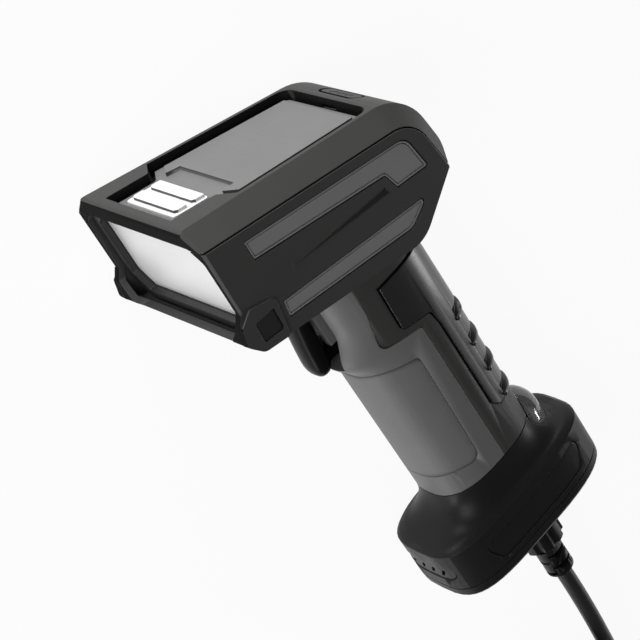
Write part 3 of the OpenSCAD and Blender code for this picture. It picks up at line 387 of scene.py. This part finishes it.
# Room left round the grille for the groove that it stands in
GROOVE = 1
# Height of the walls of the status light's two bars
BAR_H = 0.8
# Greatest upward share of the direction of a wall in the recess, round the grille, and at the panel's edge
RECESS_WALL = 0.3
GRILLE_WALL = 0.7
PANEL_WALL = 0.6
# Least forward share of the direction of the nose's front edge, and of a bar's front wall
NOSE_FACE = 0.85
BAR_FACE = 0.3


def colour_faces(name, finish, wanted):
    mesh = mouldings[name].data
    mesh.materials.append(finish)
    turn = TO_HEAD.to_3x3()
    for face in mesh.polygons:
        if wanted(TO_HEAD @ face.center, (turn @ face.normal).normalized()):
            face.material_index = len(mesh.materials) - 1


def in_recess(at, facing):
    inside = at.x < RECESS_FRONT and abs(at.y) < RECESS_HALF_W and RECESS_FOOT < at.z < RECESS_TOP
    return inside and (abs(facing.z) < RECESS_WALL or at.z < RECESS_FLOOR)


def at_nose(at, facing):
    return facing.x > NOSE_FACE and at.x > NOSE_REAR


def box_of(name):
    """Lowest and highest corner of a moulding in the head's frame."""
    places = [TO_HEAD @ v.co for v in mouldings[name].data.vertices]
    return [[pick(p[k] for p in places) for k in range(3)] for pick in (min, max)]


grille_low, grille_high = box_of("sounder_grille")


def round_grille(at, facing):
    beside = all(grille_low[k] - GROOVE < at[k] < grille_high[k] + GROOVE for k in range(2))
    return beside and facing.z < GRILLE_WALL and at.z > grille_low[2] - GROOVE


bar_top = box_of("status_light")[1][2]
# Painted shade: the recess walls, the groove round the grille and the grille's own walls turn near-black
colour_faces("head_cover", recess_shade_abs, in_recess)
colour_faces("head_cover", recess_shade_abs, round_grille)
colour_faces("sounder_grille", recess_shade_abs, lambda at, facing: facing.z < GRILLE_WALL)
# Painted shade: the forward-facing faces of the nose's front edge turn near-black
colour_faces("head_cover", nose_shade_abs, at_nose)
colour_faces("head_housing", nose_shade_abs, at_nose)
# Painted shade: the top panel's steep walls turn darker grey
colour_faces("top_panel", panel_wall_shade_abs, lambda at, facing: abs(facing.z) < PANEL_WALL)
# Painted shade: the forward-facing walls of the status light's bars turn dark grey
colour_faces("status_light", bar_wall_shade, lambda at, facing: facing.x > BAR_FACE and at.z > bar_top - BAR_H)

# Floor and light: soft lights above the head, on the camera's side, low before the nose and behind the grip,
# in a dim room
FLOOR_SIZE = 6.0
FLOOR_GAP = 0.0002
# Share of plain white in the floor as it is seen or mirrored; the rest is lit paper, which keeps the shadow
FLOOR_WHITE = 0.93
WORLD_LEVEL = 0.1
OBJECT_AT = (0, 0, 0.04)
SOFTBOXES = {
    "top_light": {"at": (0.25, -1.18, 0.16), "size": (1.2, 0.3), "power": 17},
    "side_light": {"at": (0.5, -0.06, 0.5), "size": (0.4, 0.4), "power": 2.2},
    "nose_light": {"at": (0.8, 0.6, 0.15), "size": (0.6, 0.3), "power": 3.2},
    "rear_light": {"at": (-1.1, 0.38, 0.3), "size": (0.3, 0.15), "power": 2.2},
}


def add_floor():
    bpy.ops.mesh.primitive_plane_add(size=FLOOR_SIZE, location=(0, 0, cad_box[0][2] - FLOOR_GAP))
    floor = bpy.context.object
    floor.name = "floor"
    finish, tree, output = new_finish("white paper floor")
    path = add_node(tree, "ShaderNodeLightPath")
    seen = add_node(tree, "ShaderNodeMath",
                    {0: path.outputs["Is Camera Ray"], 1: path.outputs["Is Glossy Ray"]}, operation="MAXIMUM")
    seen = add_node(tree, "ShaderNodeMath", {0: seen.outputs[0], 1: path.outputs["Is Transmission Ray"]},
                    operation="MAXIMUM")
    share = add_node(tree, "ShaderNodeMath", {0: seen.outputs[0]}, operation="MULTIPLY")
    share.inputs[1].default_value = FLOOR_WHITE
    paper = add_node(tree, "ShaderNodeBsdfDiffuse", Color=hex_colour("#fafafa"))
    white = add_node(tree, "ShaderNodeEmission", Strength=1.0)
    both = add_node(tree, "ShaderNodeMixShader",
                    {0: share.outputs[0], 1: paper.outputs[0], 2: white.outputs[0]})
    tree.links.new(both.outputs[0], output.inputs["Surface"])
    floor.data.materials.append(finish)


def add_softbox(name, at, size, power):
    data = bpy.data.lights.new(name, "AREA")
    data.shape = "RECTANGLE"
    data.size, data.size_y = size
    data.energy = power
    lamp = bpy.data.objects.new(name, data)
    scene.collection.objects.link(lamp)
    aim = (Vector(OBJECT_AT) - Vector(at)).to_track_quat("-Z", "Y")
    lamp.matrix_world = Matrix.Translation(at) @ aim.to_matrix().to_4x4()


def add_world():
    world = bpy.data.worlds.new("studio")
    scene.world = world
    world.use_nodes = True
    tree = world.node_tree
    tree.nodes.clear()
    path = add_node(tree, "ShaderNodeLightPath")
    plain = add_node(tree, "ShaderNodeBackground", Color=(1, 1, 1, 1), Strength=WORLD_LEVEL)
    white = add_node(tree, "ShaderNodeBackground", Color=(1, 1, 1, 1), Strength=1.0)
    both = add_node(tree, "ShaderNodeMixShader",
                    {0: path.outputs["Is Camera Ray"], 1: plain.outputs[0], 2: white.outputs[0]})
    output = tree.nodes.new("ShaderNodeOutputWorld")
    tree.links.new(both.outputs[0], output.inputs["Surface"])


add_floor()
add_world()
for name, box in SOFTBOXES.items():
    add_softbox(name, **box)

bpy.context.view_layer.update()
